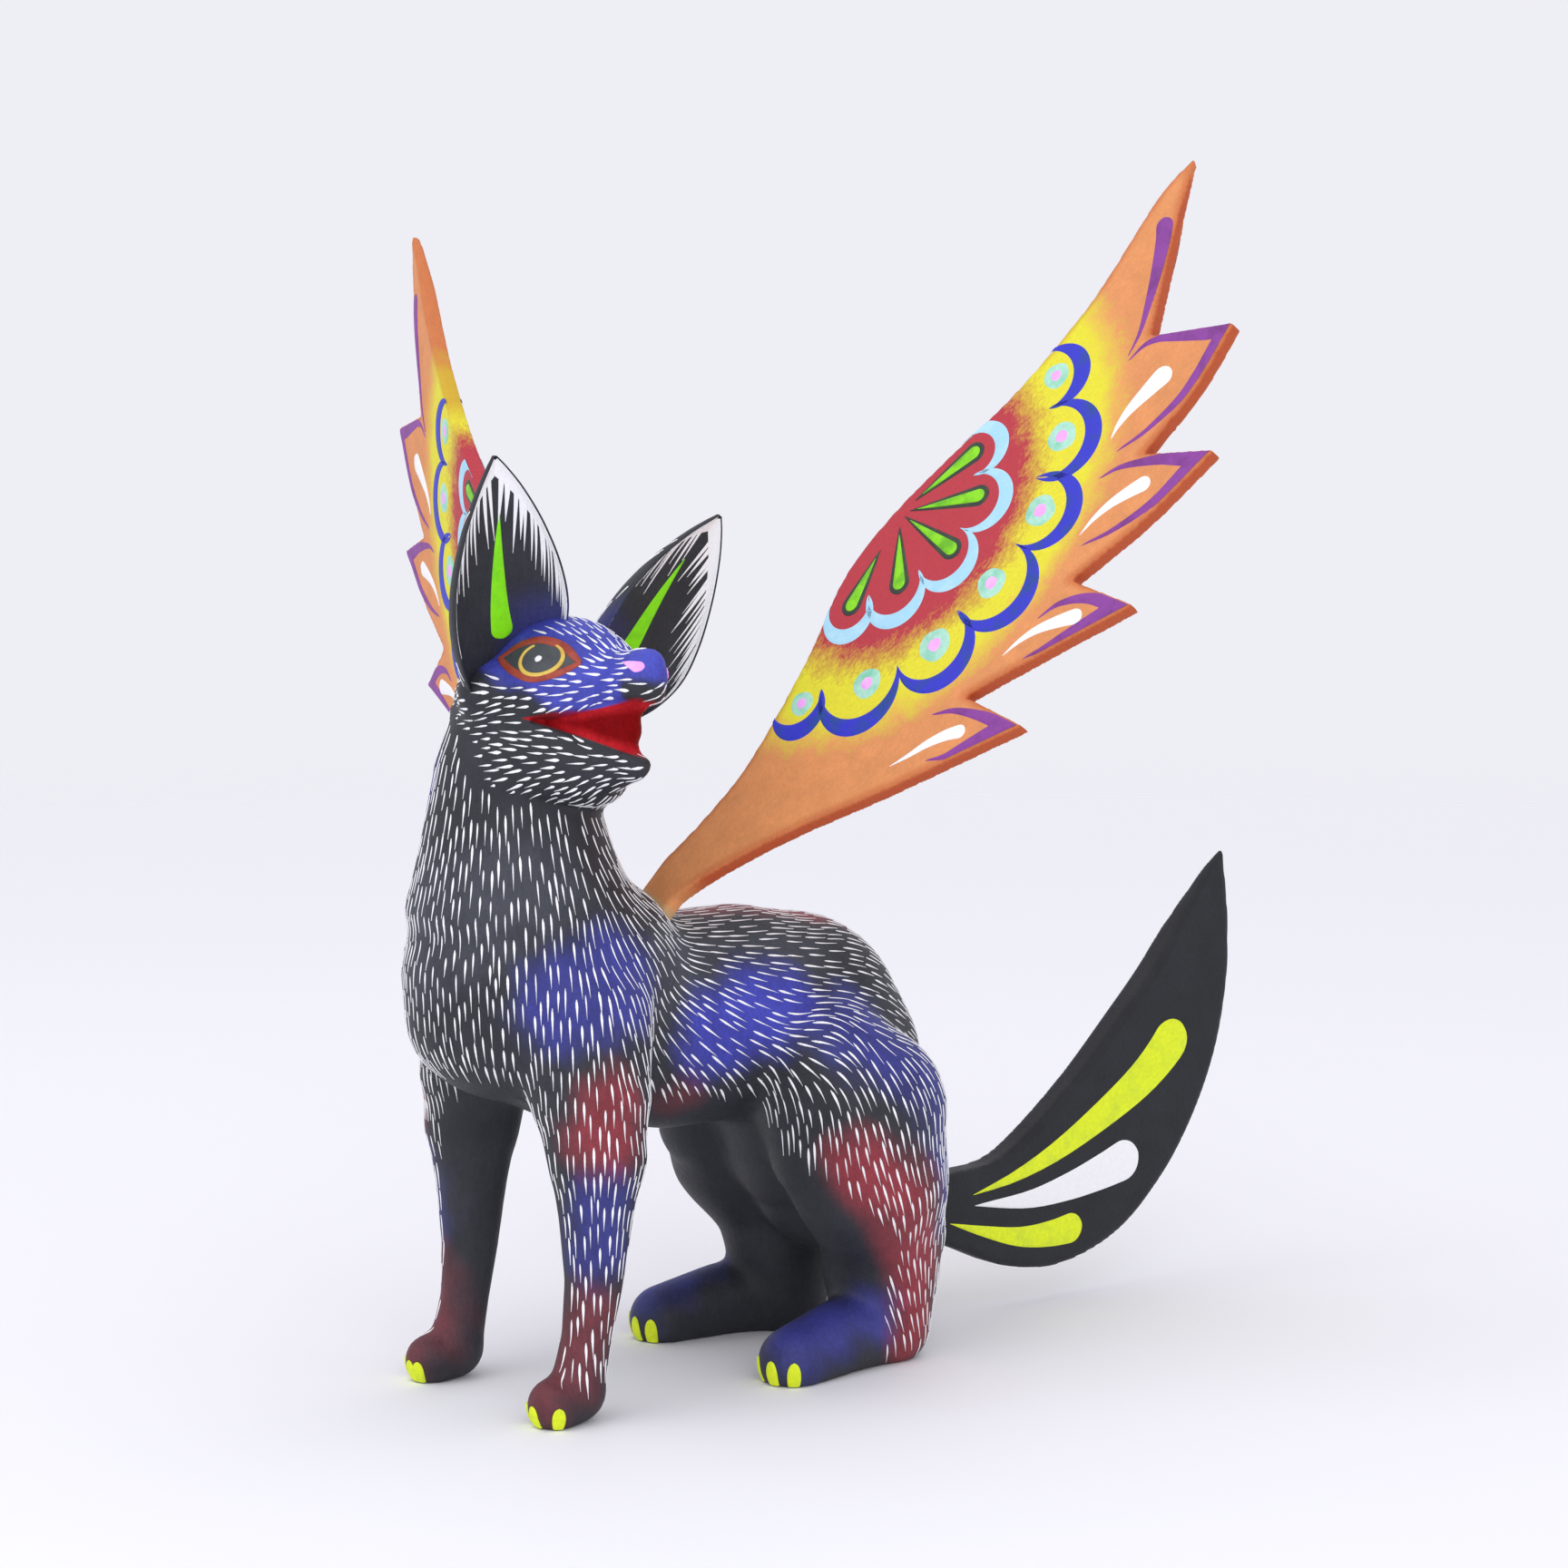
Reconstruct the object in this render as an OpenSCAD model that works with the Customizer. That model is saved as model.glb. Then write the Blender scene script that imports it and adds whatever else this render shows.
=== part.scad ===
// Carved and painted wooden fantasy animal with wings, in millimetres.
// The animal faces -Y and its left side is +X. The floor is z = 0.
// The torso, legs, neck and head are one carved block. Two ears are glued into
// the head. Both wings and the tail are loose pieces with a tenon each, and they
// pull out of mortises in the back and the rump.

/* [Body] */
// Half width of the chest
chest_w = 31; // [28:0.5:33]
// Height of the middle of the trunk above the floor
trunk_z = 89.5; // [88:0.5:90.5]
// Radius of the trunk
trunk_r = 27; // [25:0.5:28]
// Distance of each front paw from the midline
paw_x = 28; // [26:0.5:30]

/* [Head] */
// Direction of the muzzle, turned from the animal's left towards its tail
head_turn = 8; // [0:1:16]
// Upward pitch of the muzzle
head_pitch = 8; // [2:1:14]
// Lean of the head towards its own left ear
head_lean = 13; // [8:1:16]
// Radius of the back of the skull
skull_r = 20; // [19:0.5:21]
// Length of an ear from the middle of its base to its tip
ear_h = 48; // [44:1:52]

/* [Wings] */
// Thickness of a wing plate
wing_t = 4.4; // [3.6:0.1:5]
// Length of a wing tenon
wing_tenon = 13; // [10:1:14]
// Width of a wing tenon
wing_tenon_w = 11; // [9:0.5:12]

/* [Tail] */
// Thickness of the tail blade
tail_t = 8; // [6:0.5:9]
// Length of the tail tenon
tail_tenon = 18; // [12:1:20]
// Height of the tail tenon
tail_tenon_h = 13; // [10:0.5:14]

/* [Joinery] */
// Gap on each side between a tenon and its mortise
fit_gap = 0.12; // [0.08:0.01:0.2]

/* [Hidden] */

// The whole figure is moved so that the middle of its outline is over the origin
middle_x = -24.5;
middle_y = 56.7;

round_fn = 20;
charcoal = [0.17, 0.18, 0.19];
wing_orange = [0.89, 0.58, 0.35];
big = 400;

// Each limb is a chain of balls: x, y, z of the centre, the radius, and for a
// flattened ball its height as a part of its width
neck = [[0, -44, 121, 28.8, 0.5], [0, -47, 136, 23.5, 0.6], [0, -47.5, 146, 21, 0.7],
        [0, -46, 158, 20, 0.7]];
trunk = [[0, -30, 92, 25], [0, -4, trunk_z, trunk_r], [0, 18, trunk_z, trunk_r], [0, 34, 84, 29],
         [0, 41, 74, 28.5], [0, 46, 58, 26], [0, 50, 46, 22]];
shoulder = [[18, -42, 96, 19], [25, -42.5, 78, 14.5], [27.5, -42.5, 64, 11.5]];
front_leg = [[27.5, -42.5, 64, 11.5], [27.5, -43, 48, 8.8], [27.5, -43.5, 34, 7.2],
             [27, -44.5, 20, 5.6], [paw_x - 1, -47, 8, 5.8]];
front_paw = [[paw_x - 1, -48, 6, 6.2], [paw_x - 0.5, -55, 5, 6.8]];
thigh = [[20, 28, 80, 18], [25.5, 37.5, 66, 21], [26, 41, 48, 19]];
knee = [[20, 28, 80, 16], [24, 30, 57, 15], [22, 46, 36, 13]];
shank = [[26, 41, 48, 19], [23, 48.5, 33, 15], [22, 49.5, 22, 13], [22, 49.5, 9, 11.2]];
hind_paw = [[22, 49, 9, 11], [25.5, 32, 8, 9.6], [28, 16, 5, 8.8]];

// Head, in its own frame: +X along the muzzle, +Y to the head's left, +Z up
head_at = [2, -42, 170];
skull = [[0, 0, 0, skull_r], [12, 0, 2, skull_r - 1]];
muzzle = [[10, 0, 4, 16], [26, 0, 7, 8.8], [39.5, 0, 5, 6.3]];
jaw = [[4, 0, -6, 15], [22, 0, -15.5, 8.5], [35, 0, -15.5, 4.6]];
mouth = [[16, -7], [60, -1.6], [60, -21.5]];
mouth_core = [[6, 0, -5, 9], [22, 0, -7, 8], [31, 0, -8, 7]];

// Ears, in the head's frame
ear_at = [11.4, 18.2, 9.9];
ear_splay = 22.5;
ear_forward = 13;
glue_gap = 0.05;

// A wing lies in its own XY plane, from its root at the origin to its tip on +X,
// with the leading edge on +Y and the painted face on +Z. The outline runs out
// along the feathers, which are tips with notches between them, to the wing tip,
// and comes back along the leading edge.
wing_blade = [[23, -17], [36, -26.5], [55, -42], [86, -65.5], [84, -45], [104, -58], [124, -71.5],
              [121, -50.5], [142, -58], [165, -63], [155.5, -45], [176, -46], [193.5, -43.5],
              [181, -23.5], [204, -10], [224.5, 1.5], [214, 3], [182, 0], [153, 2.5], [131, 8],
              [110, 12.5], [91, 13], [71, 7], [48, 2.5], [34, 1.5], [20, 3]];
wing_root = 8;
wing_left_at = [8, -10, 121];
wing_left_turn = [35, -53.5, 60];
wing_right_at = [12, -20.5, 116];
wing_right_turn = [91, -48.7, 16.6];

// Side view of the tail: Y and Z, from the root below, round the tip, to the root above
tail_y = 68;
tail_z = 31;
tail_blade = [[90, 18.5], [106, 12], [125, 10], [145, 16], [161, 29], [174, 45], [184, 64], [188, 82],
              [189, 102], [187, 117], [173, 111], [160, 94], [144, 76], [128, 58], [112, 46], [101, 40.5],
              [88, 39.5]];

module ball(b) {
    translate([b[0], b[1], b[2]]) scale([1, 1, len(b) > 4 ? b[4] : 1]) sphere(r = b[3], $fn = round_fn);
}

module chain(balls) {
    for (i = [0:len(balls) - 2])
        hull() {
            ball(balls[i]);
            ball(balls[i + 1]);
        }
}

module both_sides() {
    children();
    mirror([1, 0, 0]) children();
}

module centred() {
    translate([-middle_x, -middle_y, 0]) children();
}

module on_head() {
    translate(head_at) rotate([-head_lean, -head_pitch, head_turn]) children();
}

module on_ear(side) {
    on_head() scale([1, side, 1]) translate(ear_at) rotate([-ear_splay, ear_forward, 0]) children();
}

module on_wing_left() {
    translate(wing_left_at) rotate(wing_left_turn) children();
}

module on_wing_right() {
    mirror([1, 0, 0]) translate(wing_right_at) rotate(wing_right_turn) children();
}

module legs() {
    chain(shoulder);
    chain(front_leg);
    chain(front_paw);
    chain(thigh);
    chain(knee);
    chain(shank);
    chain(hind_paw);
}

module chest() {
    hull() {
        translate([0, -39.5, 106]) scale([chest_w, 36, 26]) sphere(r = 1, $fn = 2 * round_fn);
        ball([0, -44, 93, 24]);
    }
}

module head() {
    difference() {
        union() {
            chain(skull);
            chain(muzzle);
            chain(jaw);
        }
        rotate([90, 0, 0]) translate([0, 0, -big / 2]) linear_extrude(big) polygon(mouth);
    }
    chain(mouth_core);
}

// The bar that fills a wing's mortise, grown by gap on every side
module wing_bar(gap, end) {
    translate([-wing_tenon - gap, -wing_tenon_w / 2 - gap, -wing_t / 2 - gap])
        cube([wing_tenon + end + gap, wing_tenon_w + 2 * gap, wing_t + 2 * gap]);
}

// The bar that fills the tail's mortise, grown by gap on every side
module tail_bar(gap, end) {
    translate([-tail_t / 2 - gap, tail_y - tail_tenon - gap, tail_z - tail_tenon_h / 2 - gap])
        cube([tail_t + 2 * gap, tail_tenon + end + gap, tail_tenon_h + 2 * gap]);
}

// The outside of an ear, grown by gap
module ear_outside(gap) {
    hull() {
        translate([-4, 0, -14]) scale([6 + gap, 9 + gap, 6 + gap]) sphere(r = 1, $fn = round_fn);
        translate([-3, 1, 8]) scale([8 + gap, 17 + gap, 18 + gap]) sphere(r = 1, $fn = round_fn);
        translate([-2, 0, 26]) scale([5 + gap, 12 + gap, 10 + gap]) sphere(r = 1, $fn = round_fn);
        translate([0, 0, ear_h - 1.5]) sphere(r = 1.5 + gap, $fn = round_fn);
    }
}

module body() {
    color(charcoal) centred() difference() {
        union() {
            chain(neck);
            chain(trunk);
            chest();
            both_sides() legs();
            on_head() head();
        }
        for (side = [-1, 1])
            on_ear(side) ear_outside(glue_gap);
        on_wing_left() wing_bar(fit_gap, wing_root + 4);
        on_wing_right() wing_bar(fit_gap, wing_root + 4);
        tail_bar(fit_gap, big);
        translate([-big / 2, -big / 2, -big]) cube([big, big, big]);
    }
}

module wing() {
    half = wing_tenon_w / 2;
    translate([0, 0, -wing_t / 2]) linear_extrude(wing_t)
        polygon(concat([[0, half], [0, -half], [wing_root, -half]], wing_blade, [[wing_root, half]]));
    wing_bar(0, 1);
}

module wing_left() {
    color(wing_orange) centred() on_wing_left() wing();
}

module wing_right() {
    color(wing_orange) centred() on_wing_right() wing();
}

module tail() {
    half = tail_tenon_h / 2;
    color(charcoal) centred() {
        translate([-tail_t / 2, 0, 0]) rotate([90, 0, 90]) linear_extrude(tail_t)
            polygon(concat([[tail_y, tail_z + half], [tail_y, tail_z - half], [tail_y + 8, tail_z - half]],
                           tail_blade, [[tail_y + 8, tail_z + half]]));
        tail_bar(0, 1);
    }
}

// An ear is a cupped leaf that opens forwards
module ear() {
    difference() {
        ear_outside(0);
        hull() {
            translate([5, 0, -2]) scale([7, 11, 6]) sphere(r = 1, $fn = round_fn);
            translate([5, 1, 12]) scale([8, 14, 14]) sphere(r = 1, $fn = round_fn);
            translate([6, 0, ear_h - 6]) sphere(r = 2, $fn = round_fn);
        }
    }
}

module ear_left() {
    color(charcoal) centred() on_ear(1) ear();
}

module ear_right() {
    color(charcoal) centred() on_ear(-1) ear();
}

body();
ear_left();
ear_right();
wing_left();
wing_right();
tail();
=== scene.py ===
"""Shapes and paints the carved wooden figure around its CAD frame."""
import math

import bpy
import numpy as np
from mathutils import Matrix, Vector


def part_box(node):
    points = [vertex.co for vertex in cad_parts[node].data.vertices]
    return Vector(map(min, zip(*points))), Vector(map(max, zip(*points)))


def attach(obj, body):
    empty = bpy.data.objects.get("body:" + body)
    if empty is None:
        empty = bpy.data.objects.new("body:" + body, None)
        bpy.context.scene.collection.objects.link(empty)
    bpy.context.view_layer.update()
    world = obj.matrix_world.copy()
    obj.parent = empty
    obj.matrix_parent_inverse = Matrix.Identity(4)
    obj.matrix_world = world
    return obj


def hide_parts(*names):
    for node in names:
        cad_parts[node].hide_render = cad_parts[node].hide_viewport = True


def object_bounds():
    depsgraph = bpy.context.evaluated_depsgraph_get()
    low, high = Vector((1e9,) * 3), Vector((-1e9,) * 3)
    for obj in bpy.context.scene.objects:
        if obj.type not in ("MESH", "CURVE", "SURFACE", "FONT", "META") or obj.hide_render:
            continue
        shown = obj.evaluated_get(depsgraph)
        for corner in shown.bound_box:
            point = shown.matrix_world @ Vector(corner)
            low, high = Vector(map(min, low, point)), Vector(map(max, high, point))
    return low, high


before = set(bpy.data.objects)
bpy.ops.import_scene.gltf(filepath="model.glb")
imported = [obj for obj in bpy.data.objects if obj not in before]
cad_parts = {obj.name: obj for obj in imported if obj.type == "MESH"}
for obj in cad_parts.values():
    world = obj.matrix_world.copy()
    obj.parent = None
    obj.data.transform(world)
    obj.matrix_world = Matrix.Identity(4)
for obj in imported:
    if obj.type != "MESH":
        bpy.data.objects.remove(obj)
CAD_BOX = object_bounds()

import openvdb
from mathutils import Vector

# Everything is shaped in mm in the carver's frame: the midline is x = 0, the animal
# faces -Y, its left side is +X and the floor is z = 0. MIDLINE moves it to the frame.
TAIL_START_Y = 50
TAIL_LOW, TAIL_HIGH = (1000 * np.array(corner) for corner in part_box("tail"))
MIDLINE = np.array([(TAIL_LOW[0] + TAIL_HIGH[0]) / 2, TAIL_LOW[1] - TAIL_START_Y, 0])
MM = 0.001

# Spacing of the grids that the body, the wings and the tail are shaped on
GRID = 1.0
PLATE_GRID = 0.8
TAIL_GRID = PLATE_GRID + 0.2
# The distance that an empty grid starts with, and how high a coat of paint stands
FAR = 20.0
PAINT = 0.16
rng = np.random.default_rng(11)


# ---- small geometry tools

def turned(x, y, z):
    """The matrix of a turn about X, then Y, then Z, in degrees."""
    matrix = np.eye(3)
    for axis, angle in enumerate((x, y, z)):
        c, s = math.cos(math.radians(angle)), math.sin(math.radians(angle))
        i, j = (axis + 1) % 3, (axis + 2) % 3
        step = np.eye(3)
        step[i, i] = step[j, j] = c
        step[i, j], step[j, i] = -s, s
        matrix = step @ matrix
    return matrix


def unit(v):
    return v / np.maximum(np.linalg.norm(v, axis=-1, keepdims=True), 1e-9)


def ramp(x, low, high):
    """0 below low, 1 above high, smooth between. low may be the larger."""
    t = np.clip((x - low) / (high - low), 0, 1)
    return t * t * (3 - 2 * t)


def curve(points, at):
    """Places at the given fractions of the length of a smooth line through points."""
    p = np.array(points, float)
    if len(p) > 2:
        ends = np.vstack([2 * p[0] - p[1], p, 2 * p[-1] - p[-2]])
        t = np.linspace(0, 1, 12, endpoint=False)[:, None]
        parts = [0.5 * (2 * b + (c - a) * t + (2 * a - 5 * b + 4 * c - d) * t ** 2
                        + (3 * b - a - 3 * c + d) * t ** 3)
                 for a, b, c, d in zip(ends, ends[1:], ends[2:], ends[3:])]
        p = np.vstack(parts + [p[-1:]])
    run = np.concatenate([[0], np.cumsum(np.linalg.norm(np.diff(p, axis=0), axis=1))])
    return np.stack([np.interp(np.asarray(at) * run[-1], run, column) for column in p.T], -1)


def smooth_min(a, b, k):
    """The smaller of two distances, with a fillet of width k where they meet."""
    if k == 0:
        return np.minimum(a, b)
    h = np.clip(k - np.abs(a - b), 0, None) / k
    return np.minimum(a, b) - h * h * k / 4


def ball_chain(points, balls):
    """Distance to a chain of balls, each x, y, z and radius, joined by tapers."""
    nearest = None
    for a, b in zip(balls, balls[1:]):
        start, axis = np.array(a[:3], float), np.subtract(b[:3], a[:3]).astype(float)
        along = np.clip((points - start) @ axis / (axis @ axis), 0, 1)
        d = np.linalg.norm(points - start - along[..., None] * axis, axis=-1)
        d -= a[3] + along * (b[3] - a[3])
        nearest = d if nearest is None else np.minimum(nearest, d)
    return nearest


def ellipsoid(points, centre, radii):
    q = (points - centre) / radii
    size = np.linalg.norm(q, axis=-1)
    return size * (size - 1) / np.maximum(np.linalg.norm(q / radii, axis=-1), 1e-9)


def box_distance(points, low, high):
    away = np.maximum(np.array(low) - points, points - np.array(high))
    return np.linalg.norm(np.maximum(away, 0), axis=-1) + np.minimum(away.max(-1), 0)


def outline_distance(points, outline):
    """Distance in the plane to a closed outline, negative inside it."""
    flat = points[..., :2]
    nearest = np.full(flat.shape[:-1], 1e9)
    inside = np.zeros(flat.shape[:-1], bool)
    for a, b in zip(outline, np.roll(outline, -1, axis=0)):
        edge = b - a
        along = np.clip((flat - a) @ edge / max(edge @ edge, 1e-9), 0, 1)
        nearest = np.minimum(nearest, np.linalg.norm(flat - a - along[..., None] * edge, axis=-1))
        if a[1] != b[1]:
            crosses = (a[1] > flat[..., 1]) != (b[1] > flat[..., 1])
            inside ^= crosses & (flat[..., 0] < a[0] + (flat[..., 1] - a[1]) * edge[0] / edge[1])
    return np.where(inside, -nearest, nearest)


class Field:
    """Distances in mm to a surface, on a regular grid. They are negative inside it."""

    def __init__(self, low, high, step):
        self.low, self.step = np.array(low, float), step
        self.shape = tuple(np.ceil((np.array(high) - low) / step).astype(int) + 1)
        self.d = np.full(self.shape, FAR, np.float32)

    def block(self, low, high):
        """The part of the grid between two corners: its slices and its points."""
        first = np.clip(np.floor((np.array(low) - self.low) / self.step), 0, None).astype(int)
        last = np.ceil((np.array(high) - self.low) / self.step) + 1
        last = np.minimum(last, self.shape).astype(int)
        axes = [self.low[i] + self.step * np.arange(first[i], last[i]) for i in range(3)]
        cut = tuple(slice(a, b) for a, b in zip(first, last))
        return cut, np.stack(np.meshgrid(*axes, indexing="ij"), -1)

    def add(self, part, low, high, fillet=0):
        cut, points = self.block(low, high)
        self.d[cut] = smooth_min(self.d[cut], part(points), fillet)

    def remove(self, part, low, high):
        cut, points = self.block(low, high)
        self.d[cut] = np.maximum(self.d[cut], -part(points))

    def soften(self, times):
        for _ in range(times):
            for axis in range(3):
                d = np.moveaxis(self.d, axis, 0)
                d[1:-1] = (d[:-2] + 2 * d[1:-1] + d[2:]) / 4

    def sample(self, points):
        at = (points - self.low) / self.step
        at = np.clip(at, 0, np.array(self.shape) - 1.001)
        first = at.astype(int)
        u, v, w = np.moveaxis(at - first, -1, 0)
        i, j, k = np.moveaxis(first, -1, 0)
        d = self.d
        low = ((d[i, j, k] * (1 - u) + d[i + 1, j, k] * u) * (1 - v)
               + (d[i, j + 1, k] * (1 - u) + d[i + 1, j + 1, k] * u) * v)
        high = ((d[i, j, k + 1] * (1 - u) + d[i + 1, j, k + 1] * u) * (1 - v)
                + (d[i, j + 1, k + 1] * (1 - u) + d[i + 1, j + 1, k + 1] * u) * v)
        return low * (1 - w) + high * w

    def normal(self, points):
        slope = [self.sample(points + e) - self.sample(points - e) for e in self.step * np.eye(3)]
        return unit(np.stack(slope, -1))

    def settle(self, points, lift=0.0):
        """The nearest places on the surface, moved out by lift."""
        for _ in range(3):
            points = points - self.sample(points)[..., None] * self.normal(points)
        return points + self.normal(points) * np.asarray(lift)[..., None]

    def march(self, points, direction):
        """Where lines from points along direction first meet the surface."""
        for _ in range(40):
            points = points + 0.9 * self.sample(points)[..., None] * direction
        return points

    def skin(self):
        """The surface as points and four-sided faces."""
        grid = openvdb.FloatGrid(background=3.0)
        grid.copyFromArray(np.clip(self.d, -3, 3))
        points, _, quads = grid.convertToPolygons(isovalue=0.0, adaptivity=0.0)
        return points.astype(float) * self.step + self.low, quads.astype(int)


def around(points, pad):
    """The corners of a box around balls or points, pad wider on every side."""
    p = np.array([q[:3] for q in points], float)
    reach = np.array([q[3] if len(q) > 3 else 0 for q in points])[:, None]
    return (p - reach).min(0) - pad, (p + reach).max(0) + pad


# ---- materials

# The span that most of a noise's values lie in
NOISE_SPAN = (0.3, 0.7)


def colour(code):
    """A linear colour from a six-digit code."""
    parts = [int(code[i:i + 2], 16) / 255 for i in (0, 2, 4)]
    return np.array([c / 12.92 if c <= 0.04045 else ((c + 0.055) / 1.055) ** 2.4 for c in parts])


CHARCOAL = colour("2c2e34")
# A lighter grey painted on as a highlight, where light falls on the neck's front and the upper flanks
PAINTED_HIGHLIGHT = colour("41444e")
ROYAL = colour("3a3ea2")
BRICK = colour("8c323c")
MOUTH_RED = colour("7a0509")
LIP_RED = colour("b01c24")
FACE_BLUE = colour("4248b0")
ORANGE = colour("e0935a")
SAWN = colour("bb5226")
YELLOW = colour("e4dc30")
ROSE = colour("b83642")
RAW_WOOD = colour("cfa877")


def feed(tree, socket, value):
    """Links a shader's socket to an output, or sets its number or colour."""
    if isinstance(value, bpy.types.NodeSocket):
        tree.links.new(value, socket)
    else:
        socket.default_value = value


def add(tree, kind, values=None, **inputs):
    """A shader node with its settings, and its inputs set or linked."""
    node = tree.nodes.new("ShaderNode" + kind)
    for key, value in (values or {}).items():
        setattr(node, key, value)
    for key, value in inputs.items():
        feed(tree, node.inputs[int(key[1:]) if key[1:].isdigit() else key.replace("_", " ")], value)
    return node


def finish_of(tree, base, roughness, height, bump, gloss=0.35):
    """Joins a colour, a roughness and a height to the material's own shader."""
    shader = tree.nodes["Principled BSDF"]
    ridge = add(tree, "Bump", Strength=bump, Distance=0.0004, Height=height)
    feed(tree, shader.inputs["Base Color"], base)
    feed(tree, shader.inputs["Roughness"], roughness)
    feed(tree, shader.inputs["Normal"], ridge.outputs["Normal"])
    feed(tree, shader.inputs["Specular IOR Level"], gloss)


def new_material(name):
    material = bpy.data.materials.new(name)
    material.use_nodes = True
    return material, material.node_tree


def stored(tree, name, output="Fac"):
    """A value that the mesh stores for each of its points."""
    return add(tree, "Attribute", {"attribute_name": name}).outputs[output]


def remap(tree, value, source, target):
    """value moved from one range to another, and held inside it."""
    return add(tree, "MapRange", Value=value, From_Min=source[0], From_Max=source[1],
               To_Min=target[0], To_Max=target[1]).outputs["Result"]


def mixed(tree, share, one, other):
    return add(tree, "MixRGB", Fac=share, Color1=one, Color2=other).outputs["Color"]


def summed(tree, one, other):
    return add(tree, "Math", {"operation": "ADD"}, _0=one, _1=other).outputs["Value"]


def noise(tree, where, scale, detail, stretch=(1, 1, 1)):
    placed = add(tree, "Mapping", Vector=where, Scale=stretch)
    return add(tree, "TexNoise", Vector=placed.outputs["Vector"], Scale=scale, Detail=detail,
               Roughness=0.6).outputs["Fac"]


def varied(tree, base, fac, low, high):
    """base made darker or lighter by fac."""
    gain = remap(tree, fac, NOISE_SPAN, (low, high))
    return add(tree, "VectorMath", {"operation": "SCALE"}, Vector=base, Scale=gain).outputs["Vector"]


def thinned_paint():
    """Matt paint rubbed over carved wood. The mesh stores its tint, its grain and the mouth."""
    material, tree = new_material("thinned_paint_on_wood")
    streak = 0.16
    grain = stored(tree, "grain", "Vector")
    fibres = noise(tree, grain, 0.9, 6.0, (1, 1, 0.25))
    cloud = noise(tree, grain, 0.09, 3.0)
    speck = noise(tree, grain, 1.3, 4.0)
    depth = stored(tree, "lip")
    lip = (0.25, -0.15)
    red = mixed(tree, remap(tree, depth, (-0.6, -2.6), (0.0, 1.0)), (*LIP_RED, 1), (*MOUTH_RED, 1))
    base = mixed(tree, remap(tree, depth, lip, (0.0, 1.0)), stored(tree, "tint", "Color"), red)
    base = varied(tree, base, cloud, 0.82, 1.2)
    base = varied(tree, base, speck, 1 - streak, 1 + streak)
    base = varied(tree, base, fibres, 1 - 0.7 * streak, 1 + 0.7 * streak)
    sheen = remap(tree, speck, NOISE_SPAN, (0.45, 0.62))
    gloss = remap(tree, depth, lip, (0.3, 0.05))
    finish_of(tree, base, sheen, summed(tree, fibres, speck), 0.35, gloss)
    return material


def thick_paint(name, code, other=None, thin=0.1):
    """Opaque paint laid with a small brush. It lets a second colour show where it is thin."""
    material, tree = new_material(name)
    place = add(tree, "TexCoord").outputs["Object"]
    speck = noise(tree, place, 900.0, 5.0)
    cloud = noise(tree, place, 170.0, 4.0)
    share = remap(tree, cloud, (0.46, 0.66), (0.0, 0.85))
    base = mixed(tree, share, (*colour(code), 1), (*colour(other or code), 1))
    base = varied(tree, base, speck, 1 - thin, 1 + thin / 2)
    sheen = remap(tree, speck, NOISE_SPAN, (0.43, 0.57))
    finish_of(tree, base, sheen, speck, 0.25)
    return material


def edged(tree, base, other, distance, wander, soft):
    """Mixes in another colour where distance plus wander is below 0, with a soft edge."""
    share = remap(tree, summed(tree, distance, wander), (soft, -soft), (0.0, 1.0))
    return mixed(tree, share, base, (*other, 1))


def wing_paint():
    """Orange, yellow and red rubbed into each other with a dry brush on sawn wood."""
    material, tree = new_material("dry_brushed_wing")
    grain = stored(tree, "grain", "Vector")
    streaks = noise(tree, grain, 1.7, 6.0, (0.5, 1, 1))
    patches = noise(tree, grain, 0.16, 4.0)
    speck = noise(tree, grain, 2.4, 4.0)
    wander = remap(tree, summed(tree, streaks, patches), (0.6, 1.4), (-4.2, 4.2))
    tint = varied(tree, ORANGE, patches, 0.9, 1.06)
    for key, other, soft in (("warm", YELLOW, 4.0), ("hot", ROSE, 4.5)):
        tint = edged(tree, tint, other, stored(tree, key), wander, soft)
    for key, other in (("sawn", SAWN), ("bare", RAW_WOOD)):
        tint = mixed(tree, stored(tree, key), tint, (*other, 1))
    tint = varied(tree, tint, speck, 0.94, 1.05)
    tint = varied(tree, tint, streaks, 0.92, 1.07)
    sheen = remap(tree, speck, NOISE_SPAN, (0.5, 0.7))
    finish_of(tree, tint, sheen, summed(tree, streaks, speck), 0.3)
    return material


# ---- pieces

def make_piece(name, body, material, points, faces, layers=None):
    mesh = bpy.data.meshes.new(name)
    mesh.from_pydata(((points + MIDLINE) * MM).tolist(), [], faces.tolist())
    for key, values in (layers or {}).items():
        kind = "FLOAT" if values.ndim == 1 else "FLOAT_COLOR" if key == "tint" else "FLOAT_VECTOR"
        field = {"FLOAT": "value", "FLOAT_COLOR": "color", "FLOAT_VECTOR": "vector"}[kind]
        if key == "tint":
            values = np.concatenate([values, np.ones((len(values), 1))], 1)
        data = mesh.attributes.new(key, kind, "POINT").data
        data.foreach_set(field, values.astype(np.float32).ravel())
    mesh.shade_smooth()
    mesh.materials.append(material)
    piece = bpy.data.objects.new(name, mesh)
    bpy.context.scene.collection.objects.link(piece)
    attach(piece, body)
    return piece


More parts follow.
